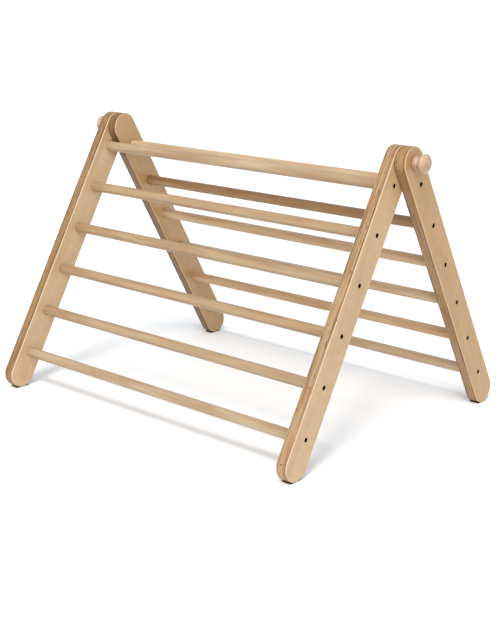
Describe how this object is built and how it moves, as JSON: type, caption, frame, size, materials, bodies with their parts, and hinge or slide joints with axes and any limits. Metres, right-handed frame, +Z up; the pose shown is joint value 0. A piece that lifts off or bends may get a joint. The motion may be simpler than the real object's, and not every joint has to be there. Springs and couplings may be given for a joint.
{
  "type": "folding climbing triangle",
  "caption": "Folding A-frame climbing triangle of two round-runged plywood ladders, hinged at the top and clamped at any angle by two turned wooden knobs.",
  "frame": {"origin": "on the floor, under the middle of the pivot axis", "axes": "+X along the rungs to the right-hand end, +Y from the front ladder's feet to the back ladder's feet, +Z up"},
  "size_m": [0.9876, 0.728, 0.6402],
  "materials": {
    "plywood": "clear satin lacquer on birch plywood",
    "rung_wood": "clear satin lacquer on beech dowel",
    "knob_wood": "clear satin lacquer on turned beech",
    "black_steel": "black oxide",
    "zinc_steel": "zinc plated",
    "fibre": "matt fibre",
    "rubber": "matt"
  },
  "bodies": {
    "front_ladder": {"front_left_rail": "plywood", "front_right_rail": "plywood", "front_rung_1": "rung_wood", "front_rung_2": "rung_wood", "front_rung_3": "rung_wood", "front_rung_4": "rung_wood", "front_rung_5": "rung_wood", "front_rung_6": "rung_wood", "front_left_screws": "black_steel", "front_right_screws": "black_steel", "front_left_foot_pad": "rubber", "front_right_foot_pad": "rubber", "right_rail_insert": "zinc_steel", "right_spacer": "fibre"},
    "back_ladder": {"back_left_rail": "plywood", "back_right_rail": "plywood", "back_rung_1": "rung_wood", "back_rung_2": "rung_wood", "back_rung_3": "rung_wood", "back_rung_4": "rung_wood", "back_rung_5": "rung_wood", "back_rung_6": "rung_wood", "back_left_screws": "black_steel", "back_right_screws": "black_steel", "back_left_foot_pad": "rubber", "back_right_foot_pad": "rubber", "left_rail_insert": "zinc_steel", "left_spacer": "fibre"},
    "right_washer": {"right_knob_washer": "zinc_steel"},
    "right_knob": {"right_knob": "knob_wood", "right_knob_stud": "zinc_steel"},
    "left_washer": {"left_knob_washer": "zinc_steel"},
    "left_knob": {"left_knob": "knob_wood", "left_knob_stud": "zinc_steel"}
  },
  "joints": [
    {"name": "fold", "type": "hinge", "parent": "front_ladder", "child": "back_ladder", "pos_m": [0, 0, 0.60669], "axis": [1, 0, 0], "range_deg": [-3.5, 120]},
    {"name": "right_knob_travel", "type": "slide", "parent": "front_ladder", "child": "right_washer", "axis": [1, 0, 0], "range_m": [0, 0.0025]},
    {"name": "right_knob_turn", "type": "hinge", "parent": "right_washer", "child": "right_knob", "pos_m": [0.4595, 0, 0.60669], "axis": [1, 0, 0], "range_deg": [0, 720]},
    {"name": "left_knob_travel", "type": "slide", "parent": "back_ladder", "child": "left_washer", "axis": [-1, 0, 0], "range_m": [0, 0.0025]},
    {"name": "left_knob_turn", "type": "hinge", "parent": "left_washer", "child": "left_knob", "pos_m": [-0.4595, 0, 0.60669], "axis": [-1, 0, 0], "range_deg": [0, 720]}
  ],
  "couplings": [
    {"joint": "right_knob_turn", "follows": "right_knob_travel", "rad_per_m": 5026.5},
    {"joint": "left_knob_turn", "follows": "left_knob_travel", "rad_per_m": 5026.5}
  ]
}
